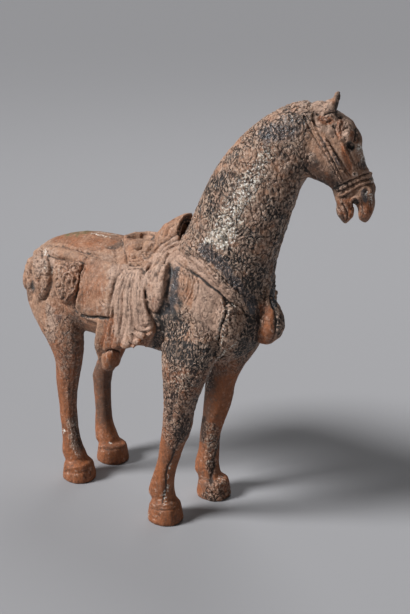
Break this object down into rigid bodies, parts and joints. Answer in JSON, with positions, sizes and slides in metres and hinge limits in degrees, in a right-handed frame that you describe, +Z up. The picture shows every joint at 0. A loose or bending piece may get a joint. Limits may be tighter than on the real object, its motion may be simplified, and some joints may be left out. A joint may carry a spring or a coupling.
{
  "type": "pottery tomb horse",
  "caption": "Standing fired-clay tomb horse with turned head, saddle, draped cloth, bridle and hanging leaf pendants in relief.",
  "frame": {"origin": "on the ground under the middle of the figure's bounding box", "axes": "+Z up, +X the way the body faces, +Y the horse's left"},
  "size_m": [0.4766, 0.1408, 0.525],
  "materials": {
    "fired_clay": "fired earthenware with worn buff slip and flaking dark pigment"
  },
  "bodies": {
    "root": {"horse": "fired_clay"}
  },
  "joints": []
}
